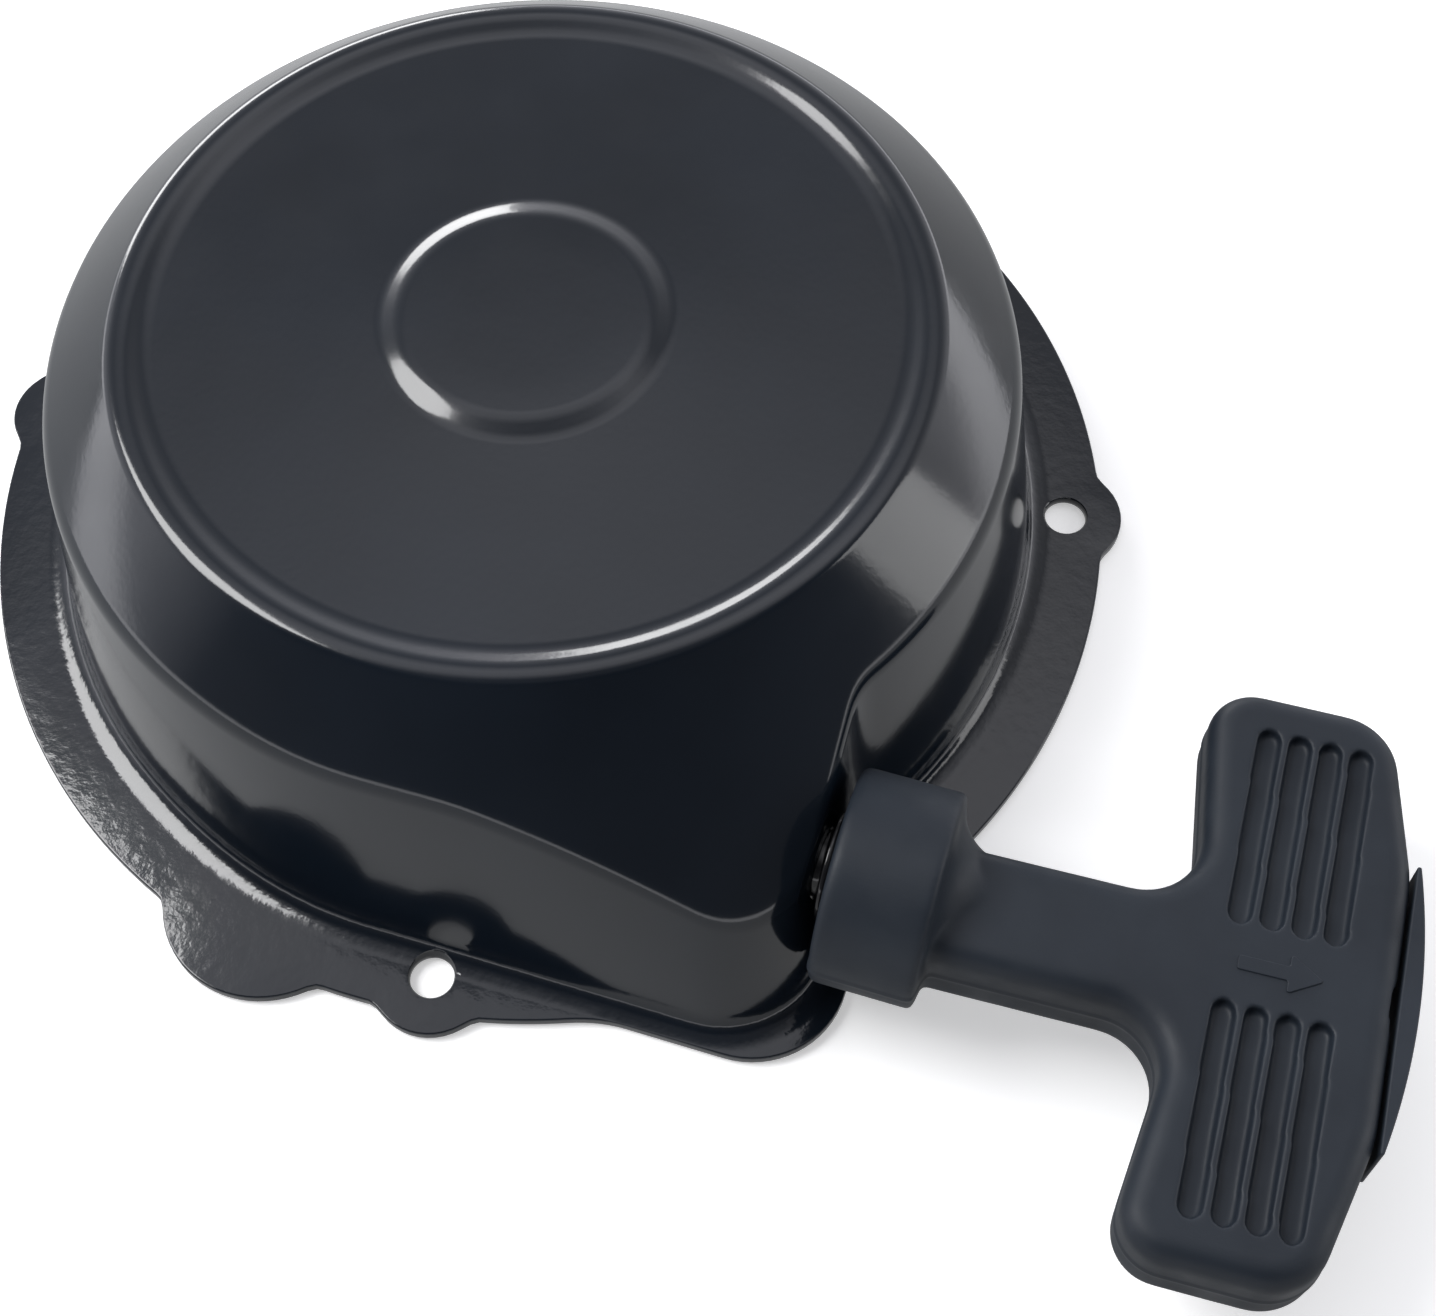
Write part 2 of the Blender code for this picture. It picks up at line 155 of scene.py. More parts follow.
def steel_material(name, dark, light, rough=(0.25, 0.42), rings=True):
    m, nt, b, vec = nodes_of(name, light, rough[0], 1.0)
    col = ramp(nt, noise(nt, vec, 90, 6), [(0.3, dark), (0.7, light)])
    nt.links.new(col, b.inputs["Base Color"])
    nt.links.new(to_range(nt, noise(nt, vec, 300, 5), *rough), b.inputs["Roughness"])
    heights = [(noise(nt, vec, 1500, 3), 0.15, 0.04)]
    if rings:
        w = nt.nodes.new("ShaderNodeTexWave")
        w.wave_type, w.rings_direction = "RINGS", "Z"
        w.inputs["Scale"].default_value = 420
        w.inputs["Distortion"].default_value = 1.5
        nt.links.new(vec, w.inputs["Vector"])
        heights.append((w.outputs["Fac"], 0.12, 0.03))
    bump(nt, b, heights)
    return m


def plastic_material(name, dark, light, rough=(0.35, 0.55), grain=0.05):
    m, nt, b, vec = nodes_of(name, light, rough[0])
    col = ramp(nt, noise(nt, vec, 45, 5), [(0.35, dark), (0.65, light)])
    nt.links.new(col, b.inputs["Base Color"])
    nt.links.new(to_range(nt, noise(nt, vec, 120, 4), *rough), b.inputs["Roughness"])
    bump(nt, b, [(noise(nt, vec, 1400, 3), 0.25, grain)])
    return m


def rope_material():
    m, nt, b, vec = nodes_of("rope_braid_fine", (0.62, 0.61, 0.56), 0.85)
    col = ramp(nt, noise(nt, vec, 900, 4), [(0.3, (0.42, 0.41, 0.37)), (0.7, (0.70, 0.69, 0.64))])
    nt.links.new(col, b.inputs["Base Color"])
    b.inputs["Sheen Weight"].default_value = 0.3
    bump(nt, b, [(noise(nt, vec, 5200, 3), 0.5, 0.08)])
    return m


PAINT = paint_material()
RUBBER = rubber_material()
CAP = rubber_material("cap_plastic_fine", ((0.012, 0.017, 0.025), (0.018, 0.024, 0.034)))
STEEL = steel_material("zinc_steel", (0.42, 0.42, 0.40), (0.62, 0.62, 0.59))
BOLT = steel_material("zinc_bolt", (0.46, 0.45, 0.40), (0.68, 0.66, 0.60), rings=False)
SPRING = steel_material("blued_spring", (0.09, 0.10, 0.14), (0.20, 0.21, 0.25), rings=False)
NYLON = plastic_material("reel_nylon_fine", (0.020, 0.021, 0.023), (0.034, 0.035, 0.038))
GLOSS = plastic_material("guide_gloss", (0.006, 0.006, 0.007), (0.010, 0.010, 0.012), (0.06, 0.16), 0.01)
ACETAL = plastic_material("bush_acetal", (0.38, 0.37, 0.33), (0.50, 0.49, 0.44))
ROPE = rope_material()


# ---------------------------------------------------------------- mesh helpers
def finish_mesh(name, bm, mat, smooth=40):
    bmesh.ops.recalc_face_normals(bm, faces=bm.faces[:])
    for v in bm.verts:
        v.co *= MM
    me = bpy.data.meshes.new(name)
    bm.to_mesh(me)
    bm.free()
    me.materials.append(mat)
    me.shade_smooth()
    me.set_sharp_from_angle(angle=math.radians(smooth))
    o = bpy.data.objects.new(name, me)
    bpy.context.scene.collection.objects.link(o)
    return o


def skin(bm, rings, closed):
    pairs = list(zip(rings, rings[1:])) + ([(rings[-1], rings[0])] if closed else [])
    for a, b in pairs:
        n = max(len(a), len(b))
        for i in range(n):
            j = (i + 1) % n
            if len(a) == 1:
                bm.faces.new((a[0], b[i], b[j]))
            elif len(b) == 1:
                bm.faces.new((a[i], b[0], a[j]))
            else:
                bm.faces.new((a[i], b[i], b[j], a[j]))


def turned(name, profile, sides, mat, axis="Z", centre=(0, 0, 0), radial=None, smooth=40):
    bm = bmesh.new()
    rings = []
    for level, (r, h) in enumerate(profile):
        ring = []
        for i in range(1 if r == 0 else sides):
            a = 2 * math.pi * i / sides
            q = r * (radial(a, level) if radial else 1)
            x, y = q * math.cos(a), q * math.sin(a)
            ring.append(bm.verts.new(Vector((x, y, h) if axis == "Z" else (h, x, y)) + Vector(centre)))
        rings.append(ring)
    skin(bm, rings, profile[0][0] != 0)
    return finish_mesh(name, bm, mat, smooth)


def rounded_profile(points, radius, steps=3, closed=True):
    """Rounds the corners of an (r, h) profile by a small radius."""
    out = []
    n = len(points)
    for i, p in enumerate(points):
        if not closed and i in (0, n - 1) or p[0] == 0:
            out.append(p)
            continue
        c = Vector(p)
        a, b = Vector(points[i - 1]) - c, Vector(points[(i + 1) % n]) - c
        k = min(radius, a.length * 0.45, b.length * 0.45)
        s, e = c + a.normalized() * k, c + b.normalized() * k
        for j in range(steps + 1):
            t = j / steps
            out.append(tuple(s * (1 - t) ** 2 + c * 2 * t * (1 - t) + e * t * t))
    return out


def prism(name, outline, z0, z1, mat, smooth=40):
    bm = bmesh.new()
    low = [bm.verts.new((x, y, z0)) for x, y in outline]
    high = [bm.verts.new((x, y, z1)) for x, y in outline]
    bm.faces.new(low[::-1])
    bm.faces.new(high)
    skin(bm, [low, high], False)
    return finish_mesh(name, bm, mat, smooth)


def filleted(corners, steps=10):
    out = []
    n = len(corners)
    for i, (x, y, radius) in enumerate(corners):
        p = Vector((x, y))
        if radius == 0:
            out.append((x, y))
            continue
        a = (Vector(corners[i - 1][:2]) - p).normalized()
        b = (Vector(corners[(i + 1) % n][:2]) - p).normalized()
        half = math.acos(max(-1, min(1, a.dot(b)))) / 2
        reach = radius / math.tan(half)
        mid = p + (a + b).normalized() * (radius / math.sin(half))
        start, end = p + a * reach - mid, p + b * reach - mid
        turn = start.angle_signed(end)
        for k in range(steps + 1):
            t = -turn * k / steps
            out.append((mid.x + start.x * math.cos(t) - start.y * math.sin(t), mid.y + start.x * math.sin(t) + start.y * math.cos(t)))
    return out


def boolean(obj, cutter, how="DIFFERENCE"):
    m = obj.modifiers.new("cut", "BOOLEAN")
    m.operation, m.object, m.solver = how, cutter, "EXACT"
    apply_all(obj)
    bpy.data.objects.remove(cutter, do_unlink=True)


def apply_all(obj):
    """Replaces the object's mesh by its evaluated one and drops its modifiers."""
    bpy.context.view_layer.update()
    dg = bpy.context.evaluated_depsgraph_get()
    made = bpy.data.meshes.new_from_object(obj.evaluated_get(dg))
    mats = [m for m in obj.data.materials]
    obj.modifiers.clear()
    obj.data = made
    if not made.materials:
        for m in mats:
            made.materials.append(m)


def joined(objs):
    """One object of several closed meshes."""
    bm = bmesh.new()
    for o in objs:
        bm.from_mesh(o.data)
    me = objs[0].data
    bm.to_mesh(me)
    bm.free()
    for o in objs[1:]:
        bpy.data.objects.remove(o, do_unlink=True)
    return objs[0]


# ---------------------------------------------------------------- housing
def circle_hit(a, cx, cy, radius):
    along = cx * math.cos(a) + cy * math.sin(a)
    inside = radius**2 - cx**2 - cy**2 + along**2
    return along + math.sqrt(inside) if inside > 0 else 0.0


def corner_hit(a, box):
    x_exit, y_side, radius = box
    c, s = math.cos(a), math.sin(a)
    if c <= 0 and s < 0:
        return y_side - NOSE_FADE * (math.atan2(-c, -s)) ** 2
    if c <= 0 or s >= -0.02:
        return 0.0
    at_exit, at_side = x_exit / c, y_side / -s
    if -at_exit * s < y_side - radius:
        return at_exit
    if at_side * c < x_exit - radius:
        return at_side
    return circle_hit(a, x_exit - radius, radius - y_side, radius)


def soft_max(p, q, k):
    h = max(k - abs(p - q), 0.0) / k
    return max(p, q) + h * h * k / 4


def cone_z(r):
    return RIM_Z - CONE_SLOPE * (r - CONE_R)


def flange_r(a):
    r = soft_max(FLANGE_R, corner_hit(a, NOSE_FLANGE), 2.0)
    for angle in HOLE_ANGLES:
        t = math.radians(angle)
        r = soft_max(r, circle_hit(a, HOLE_PITCH_R * math.cos(t), HOLE_PITCH_R * math.sin(t), LUG_R), 1.5)
    t = math.radians(TAB_ANGLE)
    return soft_max(r, circle_hit(a, TAB_CENTRE_R * math.cos(t), TAB_CENTRE_R * math.sin(t), TAB_R), 1.5)


def housing_levels(a):
    s = soft_max(SHOULDER_R, corner_hit(a, NOSE_SHOULDER), 2.0)
    b = soft_max(BASE_R, corner_hit(a, NOSE_BASE), 2.0)
    f = flange_r(a)
    zs = cone_z(s)
    foot = min(b + 3.4, f - 0.7)
    # (radius, height, corner radius)
    outer = [
        (19.6, TOP_Z + 1.3, 1.2), (22.9, TOP_Z, 1.0), (59.0, TOP_Z, 1.4), (61.8, RIM_Z - 0.02, 1.0), (64.4, RIM_Z - 0.02, 1.3),
        (s + 0.2, zs + 0.05, 2.2), (b + 0.25, 4.2, 1.2), (b + 1.3, 2.6, 1.4), (foot + 0.6, FLANGE_T, 0.8),
        (f, FLANGE_T, 0.35), (f, 0.0, 0.25),
    ]
    inner = [
        (min(b + 2.2, foot - 0.6), 0.0, 0.9), (b - 1.2, 2.4, 1.0), (b - SHEET + 0.1, 5.0, 1.0), (s - 1.35, zs - 1.4, 3.0),
        (63.9, 53.0, 1.0), (60.0, 51.9, 1.0),
    ]
    pts = outer + inner
    out = [(12.0, TOP_Z + 1.3)]
    for i, (r, z, rad) in enumerate(pts):
        c = Vector((r, z))
        before = Vector(pts[i - 1][:2]) if i else Vector((0, TOP_Z + 1.3))
        after = Vector(pts[i + 1][:2]) if i + 1 < len(pts) else Vector((0, 51.9))
        d0, d1 = before - c, after - c
        k0, k1 = min(rad, d0.length * 0.48), min(rad, d1.length * 0.48)
        s0, e0 = c + d0.normalized() * k0, c + d1.normalized() * k1
        for j in range(6):
            t = j / 5
            out.append(tuple(s0 * (1 - t) ** 2 + c * 2 * t * (1 - t) + e0 * t * t))
    # the same points again, with one more ring at r 30 under the top before the centre
    dense = [out[0]]
    for p in out[1:]:
        dense.append(p)
    dense.append((30.0, 51.9))
    return dense


def housing():
    bm = bmesh.new()
    angles = [math.radians(-180 + 0.75 * i) for i in range(480)]
    columns = [housing_levels(a) for a in angles]
    rings = [[bm.verts.new((0, 0, TOP_Z + 1.3))]]
    for level in range(len(columns[0])):
        rings.append([bm.verts.new((c[level][0] * math.cos(a), c[level][0] * math.sin(a), c[level][1])) for a, c in zip(angles, columns)])
    rings.append([bm.verts.new((0, 0, 51.9))])
    skin(bm, rings, False)
    shell = finish_mesh("housing_pressing", bm, PAINT, 60)
    cutters = []
    for i, angle in enumerate(HOLE_ANGLES):
        t = math.radians(angle)
        at = (HOLE_PITCH_R * math.cos(t), HOLE_PITCH_R * math.sin(t), 0)
        prof = [(0, 6), (HOLE_R + 0.35, 6), (HOLE_R + 0.35, 1.95), (HOLE_R, 1.45), (HOLE_R, 0.3), (HOLE_R + 0.3, -0.05), (HOLE_R + 0.3, -4), (0, -4)]
        cutters.append(turned(f"hole_cut_{i}", prof, 48, PAINT, centre=at))
    cutters.append(turned("guide_cut", [(0, 74), (5.6, 74), (5.6, 58), (0, 58)], 48, PAINT, axis="X", centre=(0, ROPE_Y, ROPE_Z)))
    boolean(shell, joined(cutters))
    shell.data.shade_smooth()
    shell.data.set_sharp_from_angle(angle=math.radians(50))
    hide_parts("housing_shell")
    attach(shell, "housing")


# ---------------------------------------------------------------- handle
def grip_point(u, v):
    t = math.radians(GRIP_YAW)
    x, y = GRIP_X + u - YAW_PIVOT_X, v
    return (YAW_PIVOT_X + x * math.cos(t) - y * math.sin(t), GRIP_Y + x * math.sin(t) + y * math.cos(t))


def capsule(u, v0, v1, half, steps=8):
    pts = []
    for k in range(steps + 1):
        t = math.pi * k / steps
        pts.append(grip_point(u + half * math.cos(t), v1 + half * math.sin(t)))
    for k in range(steps + 1):
        t = math.pi + math.pi * k / steps
        pts.append(grip_point(u + half * math.cos(t), v0 + half * math.sin(t)))
    return pts


def handle():
    h = GRIP_HALF_LENGTH
    corners = [
        (-58, -10.1, 0), (-12.4, -10.1, 9), (-16.6, -h, 7), (11.0, -h, 9), (16.6, -20, 24), (16.6, 20, 24), (11.0, h, 9),
        (-16.6, h, 7), (-12.4, 8.5, 9), (-58, 8.5, 0),
    ]
    outline = [grip_point(u, v) for u, v in filleted(corners)]
    top, low = GRIP_Z + GRIP_HALF_THICK, GRIP_Z - GRIP_HALF_THICK
    grip = prism("handle_moulding", outline, low, top, RUBBER)
    edge = grip.modifiers.new("edge", "BEVEL")
    edge.width, edge.segments, edge.limit_method, edge.angle_limit = 3.4 * MM, 5, "ANGLE", math.radians(50)
    apply_all(grip)
    slots = []
    for side in (-1, 1):
        for i in range(4):
            u = -6.8 + 4.54 * i
            v0, v1 = sorted((side * 7.6, side * 36.2))
            for z0, z1 in ((top - 1.7, top + 3), (low - 3, low + 1.7)):
                slots.append(prism("slot_cut", capsule(u, v0, v1, 1.65), z0, z1, RUBBER))
    boolean(grip, joined(slots))
    boot = turned(
        "boot",
        rounded_profile(
            [(0, 68.3), (16.4, 68.3), (16.4, 84.0)] + [(15.0 - 7.2 * math.sin(math.pi / 2 * k / 8), 93.0 - 8.6 * math.cos(math.pi / 2 * k / 8)) for k in range(9)] + [(0, 93.0)],
            1.5, 5,
        ),
        96, RUBBER, "X", (0, BOOT_Y, BOOT_Z),
    )
    boolean(grip, boot, "UNION")
    bore = turned("bore", rounded_profile([(0, 139), (4.3, 139), (4.3, 71.0), (6.0, 67), (0, 67)], 0.5), 48, RUBBER, "X", (0, ROPE_Y, ROPE_Z))
    pocket = turned("pocket", [(0, 160), (6.0, 160), (6.0, 137.6), (0, 137.6)], 48, RUBBER, "X", (0, ROPE_Y, ROPE_Z))
    boolean(grip, bore)
    boolean(grip, pocket)
    r = grip.modifiers.new("remesh", "REMESH")
    r.mode, r.voxel_size = "VOXEL", 0.42 * MM
    s = grip.modifiers.new("soften", "SMOOTH")
    s.factor, s.iterations = 0.5, 7
    apply_all(grip)
    me = grip.data
    # the mould's parting line, a fine ridge round the middle
    n = len(me.vertices)
    co = np.empty(n * 3, np.float32)
    no = np.empty(n * 3, np.float32)
    me.vertices.foreach_get("co", co)
    me.vertices.foreach_get("normal", no)
    co, no = co.reshape(-1, 3), no.reshape(-1, 3)
    dz = (co[:, 2] / MM - GRIP_Z) / 0.45
    rope = np.hypot(co[:, 1] / MM - ROPE_Y, co[:, 2] / MM - ROPE_Z)
    lift = np.where((np.abs(no[:, 2]) < 0.6) & (rope > 8), 0.22 * np.exp(-dz * dz), 0)
    co += no * (lift * MM)[:, None]
    me.vertices.foreach_set("co", co.reshape(-1).astype(np.float32))
    me.materials.clear()
    me.materials.append(RUBBER)
    me.shade_smooth()
    me.update()
    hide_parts("handle_grip")
    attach(grip, "handle")

    # a plain raised arrow on the upper broad face
    arrow = [(-6, -1.1), (1.2, -1.1), (1.2, -3.1), (6.2, 0), (1.2, 3.1), (1.2, 1.1), (-6, 1.1)]
    pts = [grip_point(u, v) for u, v in filleted([(u, v, 0.35) for u, v in arrow], 3)]
    mark = prism("grip_arrow", pts, top - 0.6, top + 0.0, RUBBER, 30)
    mark.location.z = 0.00025
    bv = mark.modifiers.new("edge", "BEVEL")
    bv.width, bv.segments = 0.18 * MM, 2
    apply_all(mark)
    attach(mark, "handle")

    inner, outer = [], []
    for i in range(45):
        v = -22.0 + 44.0 * i / 44
        inner.append((17.0, v))
        outer.append((19.9 - 2.3 * (v / 22.0) ** 2, v))
    cap = prism("handle_end_cap", [grip_point(u, v) for u, v in inner + outer[::-1]], GRIP_Z - 6.6, GRIP_Z + 6.6, CAP)
    bv = cap.modifiers.new("edge", "BEVEL")
    bv.width, bv.segments, bv.limit_method, bv.angle_limit = 0.9 * MM, 4, "ANGLE", math.radians(40)
    apply_all(cap)
    cap.data.shade_smooth()
    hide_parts("handle_cap")
    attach(cap, "handle")




# ---------------------------------------------------------------- rope
def braided(name, path, radius, mat, around=24, strands=8, pitch=11.0):
    """A tube whose surface carries the crossing strands of a braid, along (point, length so far)."""
    bm = bmesh.new()
    rings = []
    for i, (p, run) in enumerate(path):
        q0, q1 = path[max(i - 1, 0)][0], path[min(i + 1, len(path) - 1)][0]
        t = (q1 - q0).normalized()
        side = Vector((0, 0, 1))
        other = t.cross(side).normalized()
        ring = []
        for j in range(around):
            a = 2 * math.pi * j / around
            k = 2 * math.pi * run / pitch
            w = max(abs(math.sin((strands * a + k * 2) / 2)), abs(math.sin((strands * a - k * 2) / 2)))
            r = radius * (0.93 + 0.07 * w)
            ring.append(bm.verts.new(p + other * (r * math.cos(a)) + side * (r * math.sin(a))))
        rings.append(ring)
    skin(bm, rings, False)
    bm.faces.new(rings[0][::-1])
    bm.faces.new(rings[-1])
    return finish_mesh(name, bm, mat, 60)


def rope():
    xs = list(np.linspace(0.6, 60.0, 120)) + list(np.linspace(60.1, 72.0, 240)) + list(np.linspace(72.2, 139.3, 130))
    lead = braided("rope_lead_braid", [(Vector((float(x), ROPE_Y, ROPE_Z)), float(x)) for x in xs], ROPE_R, ROPE)
    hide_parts("rope_lead")
    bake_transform(lead)
    path, run, last = [], 0.0, None
    for i in range(2 * 180 + 1):
        a = math.radians(-90 - 2 * i)
        r = 55.6 - 4.4 * i / 360 * 0.95
        p = Vector((r * math.cos(a), r * math.sin(a), ROPE_Z))
        run += (p - last).length if last else 0
        last = p
        path.append((p, run))
    coil = braided("rope_wound", path, 2.15, ROPE, 16)
    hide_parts("rope_coil")
    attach(coil, "reel")

    def lobes(a, level):
        return 1 + 0.09 * math.sin(3 * a + level * 1.4)

    knot = turned(
        "rope_knot_fine", [(0, 147.9)] + [(4.4 * math.sin(math.pi * k / 14) ** 0.8, 147.9 - 8.1 * k / 14) for k in range(1, 14)] + [(0, 139.8)],
        32, ROPE, "X", (0, ROPE_Y, ROPE_Z), lobes, 80,
    )
    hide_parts("rope_knot")
    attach(knot, "handle")


# ---------------------------------------------------------------- small fine pieces
def guide():
    prof = rounded_profile([(3.1, 67.95), (7.6, 67.95), (8.0, 67.6), (8.0, 66.95), (5.2, 66.95), (5.2, 61.5), (3.1, 61.5)], 0.7, 5)
    g = turned("rope_guide_fine", prof, 72, GLOSS, "X", (0, ROPE_Y, ROPE_Z), smooth=50)
    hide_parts("rope_guide")
    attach(g, "housing")


def reel():
    prof = rounded_profile(
        [
            (7.3, 17.4), (12.0, 17.4), (13.0, 18.2), (33.6, 18.2), (35.2, 17.4), (46.0, 17.4), (47.0, 18.0), (64.6, 18.0), (65.4, 17.4), (68.0, 17.4),
            (68.0, 19.2), (48.5, 19.2), (48.5, 24.8), (68.0, 24.8), (68.0, 26.6), (53.2, 26.6), (53.2, 45.6), (47.0, 45.6),
            (47.0, 30.6), (7.3, 30.6),
        ],
        0.35, 3,
    )
    body = turned("reel_moulding", prof, 144, NYLON, smooth=40)
    cutters = []
    for i in range(3):
        t = math.radians(30 + 120 * i)
        cutters.append(turned("c", [(0, 48), (1.8, 48), (1.8, 38.5), (0, 38.5)], 24, NYLON, centre=(50.1 * math.cos(t), 50.1 * math.sin(t), 0)))
    for s in (1, -1):
        cutters.append(turned("c", [(0, 24), (2.3, 24), (2.3, 16), (0, 16)], 24, NYLON, centre=(s * 25.0, 0, 0)))
    boolean(body, joined(cutters))
    ribs = []
    for i in range(12):
        a = 2 * math.pi * i / 12 + 0.13
        c, s = math.cos(a), math.sin(a)
        pts = [(r * c - w * s, r * s + w * c) for r, w in ((46.6, -0.7), (65.0, -0.7), (65.0, 0.7), (46.6, 0.7))]
        ribs.append(prism("rib", pts, 17.4, 18.6, NYLON))
    boolean(body, joined(ribs), "UNION")
    body.data.shade_smooth()
    body.data.set_sharp_from_angle(angle=math.radians(40))
    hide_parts("reel")
    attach(body, "reel")


def cad_looks():
    looks = {
        "centre_post": STEEL, "recoil_spring": SPRING, "friction_spring": SPRING, "thrust_washer": STEEL, "centre_screw": BOLT,
        "reel_bush": ACETAL, "spring_keeper": STEEL, "keeper_screw_a": BOLT, "keeper_screw_b": BOLT, "keeper_screw_c": BOLT,
        "pawl_pin_a": BOLT, "pawl_pin_b": BOLT, "pawl_spring_a": SPRING, "pawl_spring_b": SPRING, "pawl_a": STEEL, "pawl_b": STEEL,
        "pawl_guide": STEEL, "knot_washer": STEEL,
    }
    for name, mat in looks.items():
        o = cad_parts[name]
        for i in range(len(o.material_slots)):
            o.material_slots[i].material = mat
        if name not in ("recoil_spring", "pawl_spring_a", "pawl_spring_b"):
            bv = o.modifiers.new("edge", "BEVEL")
            bv.width, bv.segments, bv.limit_method, bv.angle_limit = 0.22 * MM, 2, "ANGLE", math.radians(40)


# ---------------------------------------------------------------- camera, light, floor
def camera():
    cam = bpy.data.cameras.new("camera")
    o = bpy.data.objects.new("camera", cam)
    bpy.context.scene.collection.objects.link(o)
    right, up, back = (0.95225, 0.30440, -0.02343), (-0.25087, 0.82392, 0.50816), (0.17399, -0.47802, 0.86095)
    m = Matrix([[right[i], up[i], back[i], 0] for i in range(3)] + [[0, 0, 0, 1]])
    m.translation = Vector((96.40, -201.05, 344.38)) * MM
    o.matrix_world = m
    cam.sensor_width = 36.0
    cam.lens = 58.92
    cam.shift_x, cam.shift_y = 0.02667, -0.04822
    cam.clip_start = 0.01
    bpy.context.scene.camera = o


def area(name, at, to, size, power, colour=(1, 1, 1)):
    light = bpy.data.lights.new(name, "AREA")
    light.shape, light.size, light.size_y = "RECTANGLE", size[0], size[1]
    light.energy, light.color = power, colour
    o = bpy.data.objects.new(name, light)
    bpy.context.scene.collection.objects.link(o)
    o.location = at
    o.rotation_euler = (Vector(to) - Vector(at)).to_track_quat("-Z", "Y").to_euler()


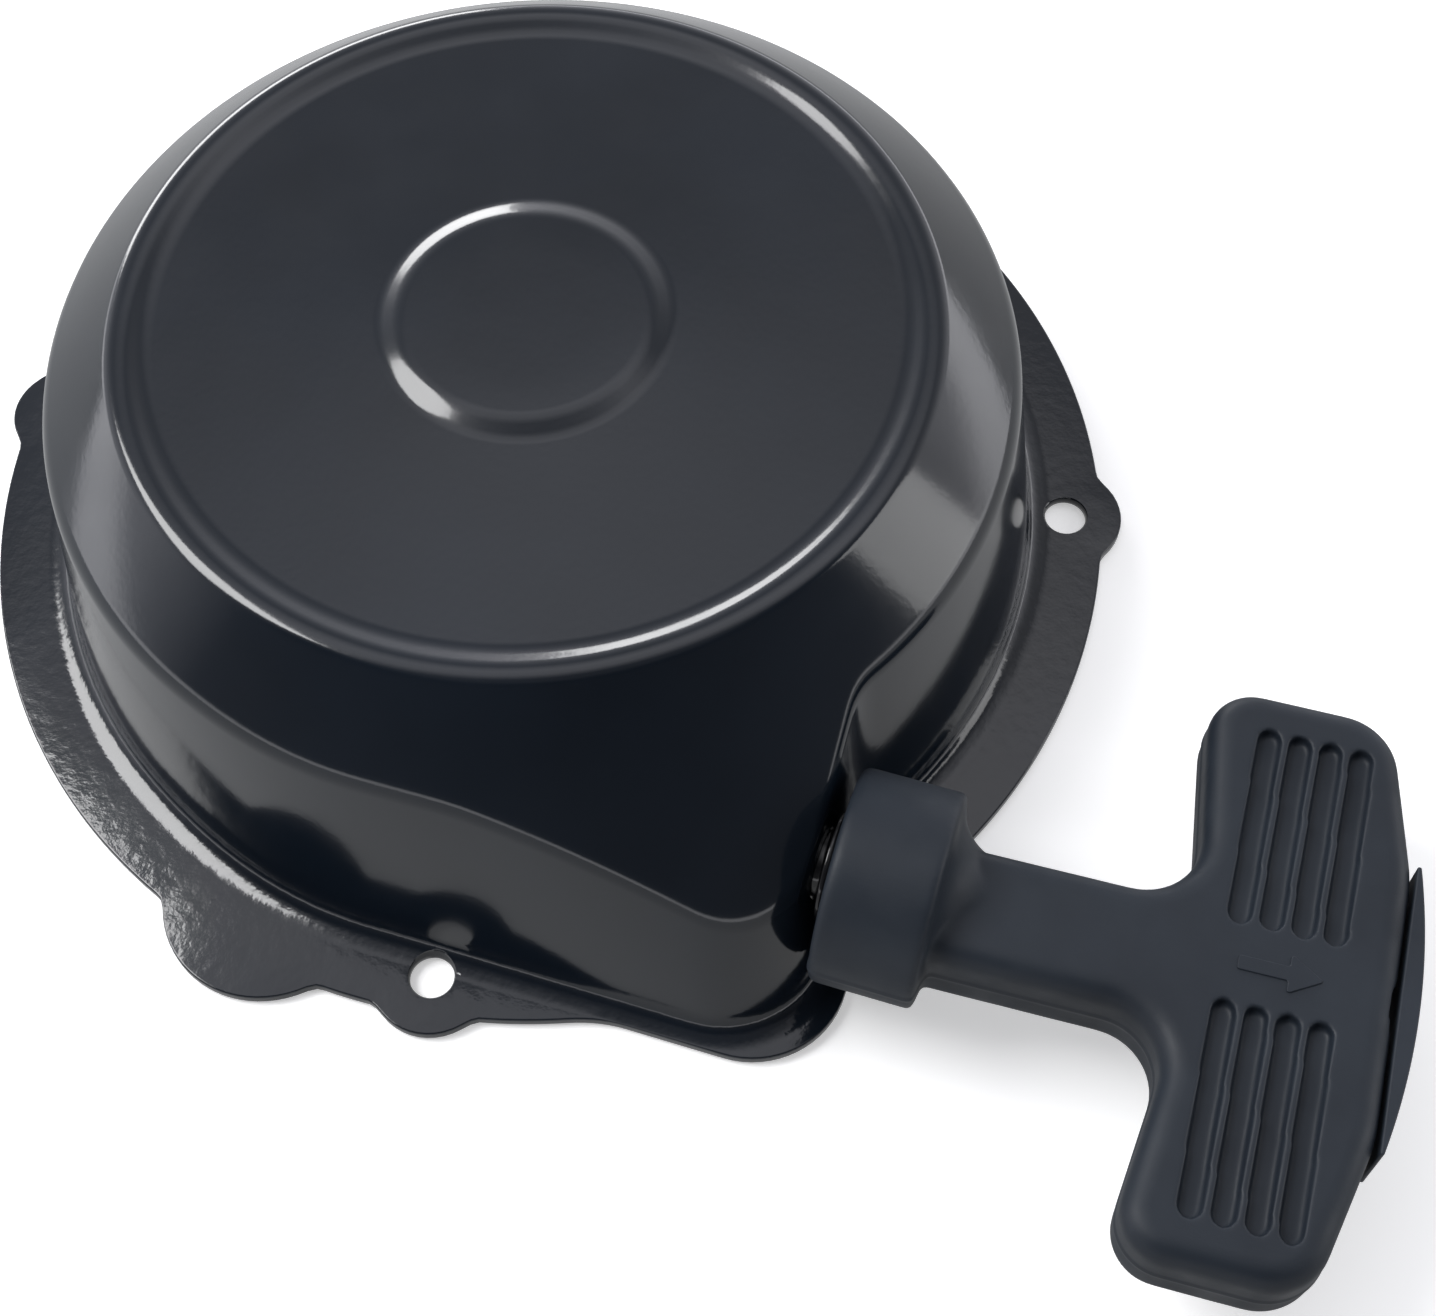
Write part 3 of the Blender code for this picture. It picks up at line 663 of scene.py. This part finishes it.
def stage():
    bm = bmesh.new()
    bmesh.ops.create_circle(bm, cap_ends=True, segments=64, radius=4.0)
    me = bpy.data.meshes.new("floor")
    bm.to_mesh(me)
    bm.free()
    floor = bpy.data.objects.new("floor", me)
    floor.location.z = -0.0004
    bpy.context.scene.collection.objects.link(floor)
    m = bpy.data.materials.new("floor_pale")
    m.use_nodes = True
    nt = m.node_tree
    b = nt.nodes["Principled BSDF"]
    b.inputs["Base Color"].default_value = (0.90, 0.90, 0.90, 1)
    b.inputs["Roughness"].default_value = 0.7
    b.inputs["Specular IOR Level"].default_value = 0.2
    # painted reflection shade: glossy rays see the floor dark grey (0.18) instead of pale (0.93), so the parts
    # reflect a darker floor than the camera sees
    lit = nt.nodes.new("ShaderNodeLightPath")
    tone = nt.nodes.new("ShaderNodeMix")
    tone.data_type = "RGBA"
    tone.inputs[6].default_value, tone.inputs[7].default_value = (0.93, 0.93, 0.93, 1), (0.18, 0.185, 0.19, 1)
    nt.links.new(lit.outputs["Is Glossy Ray"], tone.inputs["Factor"])
    nt.links.new(tone.outputs[2], b.inputs["Base Color"])
    glow = nt.nodes.new("ShaderNodeMix")
    glow.data_type = "FLOAT"
    # the floor also lights what stands over it, so that the open underside isn't black
    under = nt.nodes.new("ShaderNodeMix")
    under.data_type = "FLOAT"
    under.inputs[2].default_value, under.inputs[3].default_value = 0.62, 0.34
    nt.links.new(lit.outputs["Is Glossy Ray"], under.inputs["Factor"])
    glow.inputs[3].default_value = 0.42
    nt.links.new(under.outputs[0], glow.inputs[2])
    nt.links.new(lit.outputs["Is Camera Ray"], glow.inputs["Factor"])
    dull = nt.nodes.new("ShaderNodeMix")
    dull.data_type = "RGBA"
    dull.inputs[7].default_value = (0.35, 0.35, 0.35, 1)
    nt.links.new(lit.outputs["Is Diffuse Ray"], dull.inputs["Factor"])
    nt.links.new(tone.outputs[2], dull.inputs[6])
    nt.links.new(dull.outputs[2], b.inputs["Base Color"])
    b.inputs["Emission Color"].default_value = (1, 1, 1, 1)
    nt.links.new(glow.outputs[0], b.inputs["Emission Strength"])
    geo, clear, mix = nt.nodes.new("ShaderNodeNewGeometry"), nt.nodes.new("ShaderNodeBsdfTransparent"), nt.nodes.new("ShaderNodeMixShader")
    nt.links.new(geo.outputs["Backfacing"], mix.inputs["Fac"])
    nt.links.new(b.outputs["BSDF"], mix.inputs[1])
    nt.links.new(clear.outputs["BSDF"], mix.inputs[2])
    nt.links.new(mix.outputs["Shader"], nt.nodes["Material Output"].inputs["Surface"])
    me.materials.append(m)
    w = bpy.data.worlds.new("studio")
    bpy.context.scene.world = w
    w.use_nodes = True
    nt = w.node_tree
    bg = nt.nodes["Background"]
    new, link = nt.nodes.new, nt.links.new
    co = new("ShaderNodeTexCoord")

    def directed(vec, stops):
        """Brightness by how far a direction leans towards vec."""
        dot = new("ShaderNodeVectorMath")
        dot.operation = "DOT_PRODUCT"
        dot.inputs[1].default_value = vec
        link(co.outputs["Generated"], dot.inputs[0])
        rng = new("ShaderNodeMapRange")
        rng.inputs["From Min"].default_value = -1
        link(dot.outputs["Value"], rng.inputs["Value"])
        r = new("ShaderNodeValToRGB")
        while len(r.color_ramp.elements) < len(stops):
            r.color_ramp.elements.new(0.5)
        for e, (at, v) in zip(r.color_ramp.elements, stops):
            e.position, e.color = (at + 1) / 2, (v, v, v * 1.03, 1)
        link(rng.outputs["Result"], r.inputs["Fac"])
        return r.outputs["Color"]

    front = directed((0.43, -0.90, 0.0), [(-1.0, 1.0), (-0.15, 1.0), (0.25, 0.16), (1.0, 0.10)])
    height = directed((0.0, 0.0, 1.0), [(-1.0, 1.0), (0.30, 1.15), (0.62, 0.55), (0.76, 0.42), (0.90, 1.25), (1.0, 1.0)])
    both = new("ShaderNodeMix")
    both.data_type, both.blend_type = "RGBA", "MULTIPLY"
    both.inputs["Factor"].default_value = 1.0
    link(front, both.inputs[6])
    link(height, both.inputs[7])
    path, seen = new("ShaderNodeLightPath"), new("ShaderNodeMix")
    seen.data_type = "RGBA"
    link(path.outputs["Is Camera Ray"], seen.inputs["Factor"])
    strip = directed((0.0, 0.0, 1.0), [(-0.02, 0.0), (0.0, 1.6), (0.10, 1.6), (0.16, 0.0)])
    lit = new("ShaderNodeMix")
    lit.data_type, lit.blend_type = "RGBA", "ADD"
    lit.inputs["Factor"].default_value = 1.0
    link(both.outputs[2], lit.inputs[6])
    link(strip, lit.inputs[7])
    link(lit.outputs[2], seen.inputs[6])
    seen.inputs[7].default_value = (0.97, 0.97, 0.97, 1)
    link(seen.outputs[2], bg.inputs["Color"])
    bg.inputs["Strength"].default_value = 1.0
    area("key", (-0.75, -0.10, 0.95), (0, 0, 0.02), (0.6, 0.6), 11.0)
    area("back_left", (-0.9, 0.9, 0.35), (0, 0, 0.03), (0.9, 0.35), 8.0)
    area("side", (1.1, 0.25, 0.5), (0.05, -0.03, 0.02), (0.4, 0.7), 2.5)


camera()
stage()
housing()
handle()
rope()
guide()
reel()
cad_looks()
bpy.context.scene.view_settings.view_transform = "Standard"
